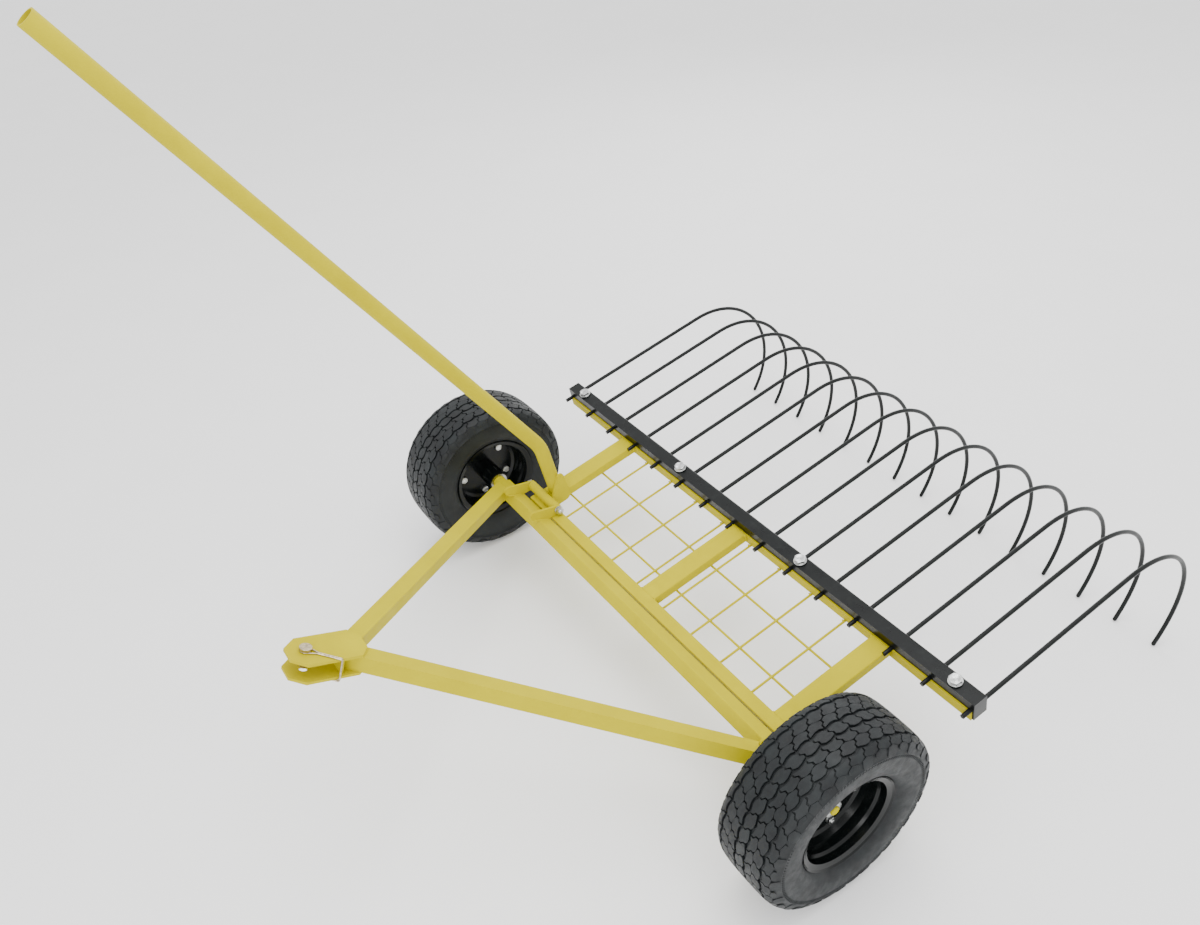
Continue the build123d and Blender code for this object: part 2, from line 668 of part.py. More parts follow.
TYRE_OUTSIDE = mirrored(
    [
        (BEAD_RADIUS, RIM_HALF_WIDTH - 4),
        (BEAD_RADIUS + 9, RIM_HALF_WIDTH - 1),
        (RIM_FLANGE_RADIUS, RIM_HALF_WIDTH + 2),
        (BELLY_RADIUS - 28, TYRE_HALF - 4),
        (BELLY_RADIUS, TYRE_HALF),
        (TYRE_RADIUS - SHOULDER_DROP, TREAD_HALF + 5),
        (TYRE_RADIUS - CROWN, TREAD_HALF - 6),
        (TYRE_RADIUS, TREAD_HALF / 2),
    ]
)
TYRE_INSIDE = mirrored(
    [
        (BEAD_RADIUS, RIM_HALF_WIDTH - 18),
        (BEAD_RADIUS + 10, RIM_HALF_WIDTH - 12),
        (BELLY_RADIUS - 22, TYRE_HALF - 4 - SIDEWALL_THICKNESS),
        (BELLY_RADIUS, TYRE_HALF - SIDEWALL_THICKNESS),
        (TYRE_RADIUS - SHOULDER_DROP - 6, TREAD_HALF - 5),
        (TYRE_RADIUS - TREAD_THICKNESS - 2, TREAD_HALF / 2),
    ]
)
TYRE_SECTION = TYRE_OUTSIDE + TYRE_INSIDE[::-1]

# One rim half: a flat disc, a drum, the bead's seat and the flange
RIM_TYRE_FACE = [
    (HUB_RADIUS, 0),
    (RIM_DISC_RADIUS + 2, 0),
    (RIM_DISC_RADIUS + 9, 6),
    (BEAD_RADIUS - 5, 20),
    (BEAD_RADIUS - 3.5, RIM_HALF_WIDTH - 24),
    (BEAD_RADIUS, RIM_HALF_WIDTH - 18),
    (BEAD_RADIUS, RIM_HALF_WIDTH - 4),
    (BEAD_RADIUS + 9, RIM_HALF_WIDTH - 1),
    (RIM_FLANGE_RADIUS, RIM_HALF_WIDTH + 2),
]
RIM_HUB_FACE = [
    (HUB_RADIUS, RIM_SHEET),
    (RIM_DISC_RADIUS, RIM_SHEET),
    (RIM_DISC_RADIUS + 7, 7.5),
    (BEAD_RADIUS - 5 - RIM_SHEET, 20.5),
    (BEAD_RADIUS - 3.5 - RIM_SHEET, RIM_HALF_WIDTH - 23.5),
    (BEAD_RADIUS - RIM_SHEET, RIM_HALF_WIDTH - 17.5),
    (BEAD_RADIUS - RIM_SHEET, RIM_HALF_WIDTH - 2),
    (BEAD_RADIUS + 8, RIM_HALF_WIDTH + 1.5),
    (RIM_FLANGE_RADIUS - 1.5, RIM_HALF_WIDTH + 4.5),
]
RIM_SECTION = RIM_TYRE_FACE + RIM_HUB_FACE[::-1]
HUB_SECTION = [
    (BEARING_RADIUS, -HUB_INBOARD),
    (HUB_RADIUS, -HUB_INBOARD),
    (HUB_RADIUS, HUB_OUTBOARD),
    (BEARING_RADIUS, HUB_OUTBOARD),
    (BEARING_RADIUS, HUB_OUTBOARD - BEARING_WIDTH),
    (HUB_BORE, HUB_OUTBOARD - BEARING_WIDTH),
    (HUB_BORE, BEARING_WIDTH - HUB_INBOARD),
    (BEARING_RADIUS, BEARING_WIDTH - HUB_INBOARD),
]


def orbit(x):
    """A plane square to the axle line at x: its own x runs rearward and its own y up."""
    return Plane(origin=(x, AXLE_Y, TYRE_RADIUS), x_dir=(0, 1, 0), z_dir=(1, 0, 0))


def valve(x, side, angle):
    """A rubber valve stem through the outboard rim half's drum."""
    spoke = Vector(0, cos(radians(angle)), sin(radians(angle)))
    outboard = Vector(side, 0, 0)
    lean = spoke * -sin(radians(VALVE_TILT)) + outboard * cos(radians(VALVE_TILT))
    base = Vector(x, AXLE_Y, TYRE_RADIUS) + spoke * (BEAD_RADIUS + 4) + outboard * 14
    stem_plane = Plane(origin=base, x_dir=spoke.cross(outboard), z_dir=lean)
    with BuildPart() as stem:
        with BuildSketch(stem_plane):
            Circle(VALVE_RADIUS)
        extrude(amount=VALVE_LENGTH - 12)
        with BuildSketch(stem_plane.offset(VALVE_LENGTH - 12)):
            Circle(VALVE_RADIUS - 1)
        extrude(amount=12)
    return stem.part


def wheel(x, side, turn, name):
    """One wheel: x is its middle, side is the sign of x, turn is the first bolt's angle."""
    stem = valve(x, side, turn + 180 / RIM_BOLT_COUNT)
    turned(x, side, TYRE_SECTION, f"{name}_tyre")
    turned(x, side, HUB_SECTION, f"{name}_hub")
    spots = PolarLocations(RIM_BOLT_CIRCLE, RIM_BOLT_COUNT, start_angle=turn)
    with BuildPart(mode=Mode.PRIVATE) as shanks:
        with BuildSketch(orbit(x - 2 * RIM_SHEET)):
            with spots:
                Circle(RIM_BOLT_RADIUS)
        extrude(amount=4 * RIM_SHEET)
    turned(x, side, RIM_SECTION, f"{name}_rim_outer", shanks.part + stem)
    turned(x, -side, RIM_SECTION, f"{name}_rim_inner", shanks.part)
    with BuildPart() as bearings:
        for start in (-HUB_INBOARD, HUB_OUTBOARD - BEARING_WIDTH):
            with BuildSketch(orbit(x + side * start)):
                Circle(BEARING_RADIUS)
                Circle(SPINDLE_RADIUS + RUNNING_FIT, mode=Mode.SUBTRACT)
            extrude(amount=side * BEARING_WIDTH)
    save(bearings.part, f"{name}_bearings")
    with BuildPart() as bolts:
        with BuildSketch(orbit(x - side * RIM_SHEET)):
            with spots:
                hexagon(RIM_BOLT_FLATS)
        extrude(amount=-side * RIM_BOLT_HEAD)
        with BuildSketch(orbit(x - side * RIM_SHEET)):
            with spots:
                Circle(RIM_BOLT_RADIUS)
        extrude(amount=side * (2 * RIM_SHEET + RIM_NUT_HEIGHT + 3))
    save(bolts.part, f"{name}_rim_bolts")
    with BuildPart() as nuts:
        with BuildSketch(orbit(x + side * RIM_SHEET)):
            with spots:
                hexagon(RIM_BOLT_FLATS)
                Circle(RIM_BOLT_RADIUS, mode=Mode.SUBTRACT)
        extrude(amount=side * RIM_NUT_HEIGHT)
    save(nuts.part, f"{name}_rim_nuts")
    save(stem, f"{name}_valve_stem")


wheel(WHEEL_X, 1, -6, "left")
wheel(-WHEEL_X, -1, 44, "right")
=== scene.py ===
import json
import math
import random

import bmesh
import bpy
from mathutils import Matrix, Vector


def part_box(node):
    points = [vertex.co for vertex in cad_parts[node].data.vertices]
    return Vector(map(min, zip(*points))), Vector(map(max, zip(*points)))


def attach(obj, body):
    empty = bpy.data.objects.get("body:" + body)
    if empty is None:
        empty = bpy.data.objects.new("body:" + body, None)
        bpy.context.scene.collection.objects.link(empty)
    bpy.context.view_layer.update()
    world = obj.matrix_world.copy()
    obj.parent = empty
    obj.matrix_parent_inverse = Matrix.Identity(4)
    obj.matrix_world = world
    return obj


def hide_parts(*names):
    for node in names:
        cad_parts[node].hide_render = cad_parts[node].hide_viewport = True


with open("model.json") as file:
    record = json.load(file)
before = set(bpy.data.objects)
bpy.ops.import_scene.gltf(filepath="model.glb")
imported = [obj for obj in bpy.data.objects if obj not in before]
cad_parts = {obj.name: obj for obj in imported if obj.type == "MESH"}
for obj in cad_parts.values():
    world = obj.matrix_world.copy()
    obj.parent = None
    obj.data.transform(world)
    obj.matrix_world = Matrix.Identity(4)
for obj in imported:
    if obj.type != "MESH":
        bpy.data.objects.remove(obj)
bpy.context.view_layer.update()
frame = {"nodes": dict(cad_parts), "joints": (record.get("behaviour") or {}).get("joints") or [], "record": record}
NODES = frame["nodes"]
SCENE = bpy.context.scene
MM = 0.001

# ------------------------------------------------------------------ camera
TONGUE_RISE = math.radians(22.1)
BEAM_SIZE = 35 * MM
BEAM_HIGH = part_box("axle_beam")[1]
# The line that the tow frame and the rake frame share: the top of the beam's rear face
SHARED_LINE = Vector((0, BEAM_HIGH.y, BEAM_HIGH.z - BEAM_SIZE * math.sin(TONGUE_RISE)))
CAMERA_PLACE = SHARED_LINE + Vector((1.4446, -0.8734, 1.6575))
CAMERA_AZIMUTH = 60.36
CAMERA_PITCH = 39.98
CAMERA_ROLL = -6.35
LENS = 30.78


def make_camera():
    """The camera, with a small shift to frame the whole rake."""
    data = bpy.data.cameras.new("camera")
    data.sensor_fit = "HORIZONTAL"
    data.sensor_width = 36.0
    data.lens = LENS
    data.shift_x = -0.0015
    data.shift_y = 0.0458
    data.clip_start = 0.01
    data.clip_end = 100.0
    camera = bpy.data.objects.new("camera", data)
    SCENE.collection.objects.link(camera)
    turn = (
        Matrix.Rotation(math.radians(CAMERA_AZIMUTH), 4, "Z")
        @ Matrix.Rotation(math.radians(90 - CAMERA_PITCH), 4, "X")
        @ Matrix.Rotation(math.radians(CAMERA_ROLL), 4, "Z")
    )
    camera.matrix_world = Matrix.Translation(CAMERA_PLACE) @ turn
    SCENE.camera = camera


make_camera()


# ------------------------------------------------------------------ materials
class Nodes:
    """Builds one node material, with short names for what every material here needs."""

    def __init__(self, name):
        self.material = bpy.data.materials.new(name)
        self.material.use_nodes = True
        self.tree = self.material.node_tree
        self.shader = self.tree.nodes["Principled BSDF"]
        self.place = self.tree.nodes.new("ShaderNodeTexCoord").outputs["Object"]

    def link(self, source, target):
        self.tree.links.new(source, target)

    def node(self, kind, **settings):
        made = self.tree.nodes.new(kind)
        for key, value in settings.items():
            setattr(made, key, value)
        return made

    def noise(self, scale, detail=4.0, roughness=0.55, stretch=None):
        """Noise of about 1 / scale metres. stretch scales the three axes."""
        made = self.node("ShaderNodeTexNoise")
        made.inputs["Scale"].default_value = scale
        made.inputs["Detail"].default_value = detail
        made.inputs["Roughness"].default_value = roughness
        place = self.place
        if stretch:
            mapping = self.node("ShaderNodeMapping")
            mapping.inputs["Scale"].default_value = stretch
            self.link(place, mapping.inputs["Vector"])
            place = mapping.outputs["Vector"]
        self.link(place, made.inputs["Vector"])
        return made.outputs["Fac"]

    def ranged(self, value, low, high, to_low=0.0, to_high=1.0):
        """value from low..high onto to_low..to_high, clamped."""
        made = self.node("ShaderNodeMapRange")
        made.inputs["From Min"].default_value = low
        made.inputs["From Max"].default_value = high
        made.inputs["To Min"].default_value = to_low
        made.inputs["To Max"].default_value = to_high
        self.link(value, made.inputs["Value"])
        return made.outputs["Result"]

    def maths(self, operation, a, b=None):
        made = self.node("ShaderNodeMath", operation=operation)
        for socket, value in zip(made.inputs, (a, b)):
            if value is None:
                continue
            if isinstance(value, (int, float)):
                socket.default_value = value
            else:
                self.link(value, socket)
        return made.outputs[0]

    def mixed(self, factor, a, b):
        """Colour a where factor is 0 and b where it is 1. Each is a colour or a socket."""
        made = self.node("ShaderNodeMix", data_type="RGBA")
        self.link(factor, made.inputs["Factor"])
        for socket, value in ((made.inputs[6], a), (made.inputs[7], b)):
            if isinstance(value, tuple):
                socket.default_value = (*value, 1.0)
            else:
                self.link(value, socket)
        return made.outputs[2]

    def bump(self, height, distance, strength=1.0, under=None):
        made = self.node("ShaderNodeBump")
        made.inputs["Distance"].default_value = distance
        made.inputs["Strength"].default_value = strength
        self.link(height, made.inputs["Height"])
        if under:
            self.link(under, made.inputs["Normal"])
        return made.outputs["Normal"]

    def finish(self, colour, roughness, normal, metallic=0.0, coat=0.0, specular=0.5):
        shader = self.shader
        for key, value in (("Base Color", colour), ("Roughness", roughness), ("Normal", normal)):
            self.link(value, shader.inputs[key])
        shader.inputs["Metallic"].default_value = metallic
        shader.inputs["Coat Weight"].default_value = coat
        shader.inputs["Coat Roughness"].default_value = 0.12
        shader.inputs["Specular IOR Level"].default_value = specular
        return self.material


YELLOW = (0.48, 0.41, 0.0)
YELLOW_DEEP = (0.43, 0.36, 0.0)
YELLOW_PALE = (0.53, 0.46, 0.0)


def yellow_paint(name, patches):
    """Lemon paint over ground welds. patches are (place, radius) in metres."""
    n = Nodes(name)
    cloud = n.ranged(n.noise(9.0), 0.3, 0.7)
    colour = n.mixed(cloud, YELLOW_DEEP, YELLOW)
    colour = n.mixed(n.ranged(n.noise(70.0, 3.0), 0.42, 0.62, 0.0, 0.12), colour, YELLOW_PALE)
    grain = n.noise(260.0, 5.0, 0.7, (1.0, 0.12, 1.0))
    patch = None
    for place, radius in patches:
        far = n.node("ShaderNodeVectorMath", operation="DISTANCE")
        n.link(n.place, far.inputs[0])
        far.inputs[1].default_value = place
        one = n.ranged(far.outputs["Value"], radius * 0.35, radius, 1.0, 0.0)
        patch = one if patch is None else n.maths("MAXIMUM", patch, one)
    ripple = n.noise(900.0, 2.0)
    height = n.maths("MULTIPLY", ripple, 0.35)
    rough = n.ranged(n.noise(35.0), 0.3, 0.7, 0.42, 0.54)
    if patch is not None:
        brushed = n.maths("MULTIPLY", patch, grain)
        colour = n.mixed(n.ranged(brushed, 0.25, 0.75, 0.0, 0.75), colour, YELLOW_PALE)
        height = n.maths("ADD", height, brushed)
        rough = n.maths("ADD", rough, n.maths("MULTIPLY", patch, 0.12))
    return n.finish(colour, rough, n.bump(height, 0.0003, 0.2), coat=0.0, specular=0.06)


def black_paint(name, gloss, dusty):
    """Black paint over steel, with a fine grain and a little dust."""
    n = Nodes(name)
    dust_and_sheen = n.ranged(n.noise(55.0, 6.0, 0.65), 0.5, 0.8, 0.0, dusty)
    colour = n.mixed(dust_and_sheen, (0.002, 0.003, 0.003), (0.018, 0.022, 0.020))
    rough = n.ranged(n.noise(22.0), 0.3, 0.7, gloss, gloss + 0.13)
    return n.finish(colour, rough, n.bump(n.noise(700.0, 2.0), 0.0002, 0.2), coat=0.0, specular=0.22)


def zinc(name, tint, streak):
    """Bright zinc plate: metal, with patchy passivation and fine machining lines."""
    n = Nodes(name)
    cloud = n.ranged(n.noise(160.0, 5.0), 0.35, 0.65)
    dark = tuple(0.55 * c for c in tint)
    colour = n.mixed(cloud, dark, tint)
    lines = n.noise(streak, 3.0, 0.6, (1.0, 1.0, 0.08))
    rough = n.ranged(lines, 0.3, 0.7, 0.22, 0.42)
    return n.finish(colour, rough, n.bump(lines, 0.0003, 0.35), metallic=1.0)


def rubber(name):
    """Charcoal tyre rubber, with mould bloom, lighter olive patches that are painted reflection, and a fine grain.
    """
    n = Nodes(name)
    bloom = n.ranged(n.noise(26.0, 5.0), 0.35, 0.7)
    colour = n.mixed(bloom, (0.004, 0.005, 0.006), (0.010, 0.013, 0.014))
    # Painted reflection: random lighter olive patches stand in for the sheen on the tread blocks.
    dust_and_sheen = n.ranged(n.noise(240.0, 6.0, 0.7), 0.56, 0.75, 0.0, 0.5)
    colour = n.mixed(dust_and_sheen, colour, (0.030, 0.032, 0.028))
    rough = n.ranged(n.noise(60.0), 0.3, 0.7, 0.42, 0.62)
    grain = n.bump(n.noise(1600.0, 3.0), 0.0004, 0.5)
    skin = n.bump(n.noise(120.0, 4.0), 0.0006, 0.3, under=grain)
    return n.finish(colour, rough, skin, specular=0.28)


def middle(node):
    """The middle of a CAD node's box."""
    low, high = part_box(node)
    return (low + high) / 2


def corner(node, x, y, z):
    """A point of a CAD node's box, each of x, y, z from 0 at the low face to 1 at the high."""
    low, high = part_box(node)
    return Vector((low[i] + (high[i] - low[i]) * f for i, f in enumerate((x, y, z))))


BEAM_LEFT = corner("axle_beam", 1.0, 0.5, 0.8)
BEAM_RIGHT = corner("axle_beam", 0.0, 0.5, 0.8)
CLEVIS = corner("clevis_top_plate", 0.5, 0.9, 0.5)
TOW_PATCHES = [
    (BEAM_LEFT - Vector((0.03, 0, 0)), 0.085),
    (BEAM_RIGHT + Vector((0.03, 0, 0)), 0.085),
    (CLEVIS, 0.06),
]
RAKE_PATCHES = [
    (corner("left_side_member", 0.3, 0.02, 0.3), 0.05),
    (corner("right_side_member", 0.7, 0.02, 0.3), 0.05),
    (corner("middle_member", 0.5, 0.02, 0.3), 0.04),
    (corner("lift_lever", 0.5, 0.97, 0.03), 0.06),
]

MATERIALS = {
    "tow_yellow": yellow_paint("tow_yellow", TOW_PATCHES),
    "rake_yellow": yellow_paint("rake_yellow", RAKE_PATCHES),
    "bar_black": black_paint("bar_black", 0.24, 0.35),
    "tine_black": black_paint("tine_black", 0.3, 0.5),
    "rim_black": black_paint("rim_black", 0.14, 0.25),
    "zinc": zinc("zinc", (0.72, 0.73, 0.72), 700.0),
    "pin_steel": zinc("pin_steel", (0.62, 0.52, 0.36), 500.0),
    "bearing_steel": zinc("bearing_steel", (0.45, 0.45, 0.45), 900.0),
    "tyre_rubber": rubber("tyre_rubber"),
    "valve_rubber": rubber("valve_rubber"),
}
SLOT_LOOKS = {
    "black_paint": "bar_black",
    "rim_paint": "rim_black",
    "zinc_plate": "zinc",
    "spring_wire": "pin_steel",
    "bearing_steel": "bearing_steel",
    "tyre_rubber": "tyre_rubber",
    "valve_rubber": "valve_rubber",
}
BODY_OF = {n: b for b, names in frame["record"]["behaviour"]["bodies"].items() for n in names}
SLOT_OF = {s["node"]: s["material_slot"] for s in frame["record"]["subparts"]}


def paint(obj, look):
    """Puts one material on an object, in place of what it had."""
    obj.data.materials.clear()
    obj.data.materials.append(MATERIALS[look])


for label, obj in NODES.items():
    if SLOT_OF[label] == "yellow_paint":
        look = "rake_yellow" if BODY_OF[label] == "rake" else "tow_yellow"
    elif label.startswith("tine_"):
        look = "tine_black"
    elif label == "hitch_pin":
        look = "pin_steel"
    else:
        look = SLOT_LOOKS[SLOT_OF[label]]
    paint(obj, look)


# ------------------------------------------------------------------ soft edges on the CAD
SOFT_EDGES = {
    "lower_clamp_bar": 1.0,
    "upper_clamp_bar": 1.0,
    "rear_angle": 0.6,
    "front_rail": 2.2,
    "left_side_member": 0.8,
    "middle_member": 0.8,
    "right_side_member": 0.8,
    "left_rail_ear": 0.5,
    "axle_beam": 0.8,
    "left_hitch_arm": 0.8,
    "right_hitch_arm": 0.8,
    "clevis_top_plate": 0.8,
    "clevis_bottom_plate": 0.8,
    "clevis_web": 0.5,
    "pivot_ears": 0.7,
    "lever_gusset": 0.7,
}


def soften(obj, radius):
    """A small round on the sharp edges of a CAD node, radius in millimetres."""
    bevel = obj.modifiers.new("soft_edges", "BEVEL")
    bevel.width = radius * MM
    bevel.segments = 3
    bevel.limit_method = "ANGLE"
    bevel.angle_limit = math.radians(40)
    bevel.use_clamp_overlap = True
    bevel.harden_normals = False


for label, radius in SOFT_EDGES.items():
    soften(NODES[label], radius)


# ------------------------------------------------------------------ making pieces
def new_piece(name, mesh, look, body, smooth_angle=35.0):
    """Turns a bmesh into a named piece with a look, riding on a CAD body."""
    bmesh.ops.recalc_face_normals(mesh, faces=mesh.faces)
    data = bpy.data.meshes.new(name)
    mesh.to_mesh(data)
    mesh.free()
    obj = bpy.data.objects.new(name, data)
    SCENE.collection.objects.link(obj)
    data.shade_smooth()
    data.set_sharp_from_angle(angle=math.radians(smooth_angle))
    paint(obj, look)
    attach(obj, body)
    return obj


# ------------------------------------------------------------------ tyres
TYRE_RADIUS = 206.0
PITCHES = 38
ROW_SPACING = 21.0
ROWS = 7
GROOVE = 3.0
SHOULDER_GROOVE = 4.2
SIDE_POINT = 4.2
CROSS_STEP = 3.2
EDGE_TAPER = 0.7
LUG_LIFT = 0.8
LONG_LUG = 95.0
SHORT_LUG = 85.0
RIBS_PER_PITCH = 4
TREAD_DEPTH = 6.0
CARCASS_TURNS = 4
# The tread's outer line, as distance from the wheel's middle and radius
TREAD_LINE = [(0, 206), (24, 205.7), (46, 204.6), (61, 202.2), (70.5, 197), (76, 189), (79, 178), (79.4, 168)]


def smooth_line(points, steps=12):
    """A smooth line through the points, by Catmull-Rom."""
    ends = [points[0]] + points + [points[-1]]
    line = []
    for a, b, c, d in zip(ends, ends[1:], ends[2:], ends[3:]):
        for k in range(steps):
            t = k / steps
            line.append(
                tuple(
                    0.5
                    * (
                        2 * b[i]
                        + (c[i] - a[i]) * t
                        + (2 * a[i] - 5 * b[i] + 4 * c[i] - d[i]) * t**2
                        + (3 * b[i] - a[i] - 3 * c[i] + d[i]) * t**3
                    )
                    for i in (0, 1)
                )
            )
    line.append(points[-1])
    return line


TREAD_PATH = smooth_line(TREAD_LINE)
TREAD_LENGTHS = [0.0]
for p, q in zip(TREAD_PATH, TREAD_PATH[1:]):
    TREAD_LENGTHS.append(TREAD_LENGTHS[-1] + math.dist(p, q))


def tread_point(t, height):
    """Distance from the middle and radius at t along the tread's line, raised by height."""
    reach = min(abs(t), TREAD_LENGTHS[-1] - 0.01)
    i = max(k for k, length in enumerate(TREAD_LENGTHS) if length <= reach)
    i = min(i, len(TREAD_PATH) - 2)
    p, q = TREAD_PATH[i], TREAD_PATH[i + 1]
    run = TREAD_LENGTHS[i + 1] - TREAD_LENGTHS[i]
    f = (reach - TREAD_LENGTHS[i]) / run
    dx, dr = (q[0] - p[0]) / run, (q[1] - p[1]) / run
    x = p[0] + (q[0] - p[0]) * f - dr * height
    r = p[1] + (q[1] - p[1]) * f + dx * height
    return (x if t >= 0 else -x), r


class Wheel:
    """Places points about one wheel's axle."""

    def __init__(self, name):
        self.name = name
        self.centre = middle(f"{name}_tyre")

    def spot(self, x, r, angle):
        """x and r in millimetres, angle in radians about the axle."""
        return self.centre + Vector((x, r * math.cos(angle), r * math.sin(angle))) * MM


def add_block(mesh, wheel, outline, depth, taper, lift=0.0):
    """A closed rubber block whose outline is (t, s): along the tread's line and round it."""
    middle_t = sum(t for t, s in outline) / len(outline)
    middle_s = sum(s for t, s in outline) / len(outline)

    def at(t, s, height):
        x, r = tread_point(t, height)
        return wheel.spot(x, r, s / TYRE_RADIUS)

    top = []
    edge = []
    base = []
    for t, s in outline:
        away_t, away_s = t - middle_t, s - middle_s
        inward = 1 - taper / max(math.hypot(away_t, away_s), 1.0)
        top.append(mesh.verts.new(at(middle_t + away_t * inward, middle_s + away_s * inward, lift)))
        edge.append(mesh.verts.new(at(t, s, lift - taper)))
        base.append(mesh.verts.new(at(t, s, -depth)))
    crown = mesh.verts.new(at(middle_t, middle_s, lift))
    count = len(outline)
    for k in range(count):
        j = (k + 1) % count
        mesh.faces.new((top[k], top[j], crown))
        mesh.faces.new((edge[k], edge[j], top[j], top[k]))
        mesh.faces.new((base[k], base[j], edge[j], edge[k]))
    mesh.faces.new(base[::-1])


def block_outline(row, k):
    """One tread block: stepped cross grooves, and sides that point into the next row."""
    pitch = 2 * math.pi * TYRE_RADIUS / PITCHES
    half = pitch / 2 - GROOVE / 2
    side = ROW_SPACING / 2 - GROOVE / 2
    notch = SIDE_POINT
    step = CROSS_STEP if row % 4 < 2 else -CROSS_STEP
    outward = 1 if row > 0 else -1
    if row % 2:
        narrow = side - notch * 0.25
        right_tip = narrow + notch if outward > 0 else narrow - notch * 0.8
        left_tip = -(narrow - notch * 0.8) if outward > 0 else -(narrow + notch)
    else:
        narrow = side - notch * 0.45
        right_tip = narrow + notch
        left_tip = -(narrow + notch)
    s0 = (k + (0.5 if abs(row) > 1 else 0.0)) * pitch
    t0 = row * ROW_SPACING
    shape = [
        (-narrow, -half + step),
        (-2, -half + step),
        (2, -half - step),
        (narrow, -half - step),
        (right_tip, -5),
        (right_tip, 5),
        (narrow, half - step),
        (2, half - step),
        (-2, half + step),
        (-narrow, half + step),
        (left_tip, 5),
        (left_tip, -5),
    ]
    return [(t0 + t, s0 + s) for t, s in shape]


def shoulder_outline(side, k):
    """One shoulder lug, long and short by turns, chevroned at both ends."""
    pitch = 2 * math.pi * TYRE_RADIUS / PITCHES
    inner = (ROWS // 2) * ROW_SPACING + ROW_SPACING / 2 + GROOVE / 2 - 3.4
    outer = LONG_LUG if k % 2 else SHORT_LUG
    half = pitch / 2 - SHOULDER_GROOVE
    s0 = k * pitch
    shape = [(inner, 0), (inner + 4, -half), (outer - 3, -half + 2), (outer, -half + 8)]
    shape += [(outer, half - 4), (outer - 4, half + 2), (inner + 4, half)]
    return [(side * t, s0 + s) for t, s in shape]


def add_ring(mesh, wheel, profile, turns):
    """A closed ring: the profile of (x, r) points swept about the axle."""
    rings = []
    for k in range(turns):
        angle = 2 * math.pi * k / turns
        rings.append([mesh.verts.new(wheel.spot(x, r, angle)) for x, r in profile])
    for k in range(turns):
        near, far = rings[k], rings[(k + 1) % turns]
        for i in range(len(profile)):
            j = (i + 1) % len(profile)
            mesh.faces.new((near[i], near[j], far[j], far[i]))


def carcass_profile():
    """The tyre's skin under its tread, outside then inside, as (x, r)."""
    outside = [(58, 101), (60.5, 107), (61.5, 110), (64, 114), (68.5, 117.5), (73, 124.5)]
    outside += [(76.6, 134), (78.8, 146), (79.4, 158), (79.2, 168), (78.6, 174.2)]
    outside += [(79.5, 175.2), (79.8, 176.6), (78.9, 178.0), (77.6, 180), (75.2, 187.5)]
    outside += [(71.0, 193.6), (65, 197.6), (55, 199.0), (40, 199.9), (20, 200.4), (0, 200.6)]
    inside = [(0, 193), (45, 192), (64, 183), (73, 158), (68, 130), (50, 111), (44, 101)]
    left = [(-x, r) for x, r in outside]
    top = outside + left[::-1][1:]
    under = [(-x, r) for x, r in inside[::-1]] + inside[1:]
    return top + under


def make_tyre(name):
    """One turf tyre: carcass, shield-shaped blocks, shoulder lugs and fine shoulder ribs."""
    wheel = Wheel(name)
    mesh = bmesh.new()
    add_ring(mesh, wheel, carcass_profile(), PITCHES * CARCASS_TURNS)
    half_rows = ROWS // 2
    for row in range(-half_rows, half_rows + 1):
        for k in range(PITCHES):
            add_block(mesh, wheel, block_outline(row, k), TREAD_DEPTH, EDGE_TAPER)
    for side in (-1, 1):
        for k in range(PITCHES):
            outline = shoulder_outline(side, k)
            add_block(mesh, wheel, outline, TREAD_DEPTH, EDGE_TAPER, lift=LUG_LIFT)
    rib_pitch = 2 * math.pi * TYRE_RADIUS / (PITCHES * RIBS_PER_PITCH)
    for side in (-1, 1):
        for k in range(PITCHES * RIBS_PER_PITCH):
            s = k * rib_pitch
            rib = [(95, s), (103, s + 5), (103, s + 8.2), (95, s + 3.2)]
            add_block(mesh, wheel, [(side * t, u) for t, u in rib], 3.0, 0.4, lift=0.4)
    tyre = new_piece(f"{name}_tread_tyre", mesh, "tyre_rubber", f"{name}_wheel")
    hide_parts(f"{name}_tyre")
    return tyre


for name in ("left", "right"):
    make_tyre(name)

# ------------------------------------------------------------------ the two frames
PIVOT = Vector(next(j["pos_m"] for j in frame["joints"] if j["name"] == "rake_lift"))
PIVOT_IN_RAKE = (27.0, 12.0)
RAKE_TILT = math.atan2(PIVOT.z - SHARED_LINE.z, PIVOT.y - SHARED_LINE.y) - math.atan2(
    PIVOT_IN_RAKE[1], PIVOT_IN_RAKE[0]
)


class Plate:
    """A frame's own directions: x along X, y rearward along it, z up from it, in mm."""

    def __init__(self, tilt, body, look):
        self.x = Vector((1, 0, 0))
        self.y = Vector((0, math.cos(tilt), math.sin(tilt)))
        self.z = Vector((0, -math.sin(tilt), math.cos(tilt)))
        self.body = body
        self.look = look

    def at(self, x, y, z):
        return SHARED_LINE + (self.x * x + self.y * y + self.z * z) * MM


TONGUE = Plate(-TONGUE_RISE, "tow_frame", "tow_yellow")
RAKE = Plate(RAKE_TILT, "rake", "rake_yellow")


def add_tube(mesh, points, radii, sides=10):
    """A closed tube through points, with one radius for each, in metres."""
    rings = []
    last = None
    for i, point in enumerate(points):
        ahead = points[min(i + 1, len(points) - 1)] - points[max(i - 1, 0)]
        ahead.normalize()
        if last is None:
            last = ahead.orthogonal().normalized()
        out = (last - ahead * last.dot(ahead)).normalized()
        last = out
        beside = ahead.cross(out)
        ring = []
        for k in range(sides):
            angle = 2 * math.pi * k / sides
            spoke = out * math.cos(angle) + beside * math.sin(angle)
            ring.append(mesh.verts.new(point + spoke * radii[i]))
        rings.append(ring)
    for near, far in zip(rings, rings[1:]):
        for k in range(sides):
            j = (k + 1) % sides
            mesh.faces.new((near[k], near[j], far[j], far[k]))
    mesh.faces.new(rings[0][::-1])
    mesh.faces.new(rings[-1])


# ------------------------------------------------------------------ welds
WELD_STEP = 1.3 * MM
WELD_RIPPLE = 3.6 * MM
CHANCE = random.Random(7)


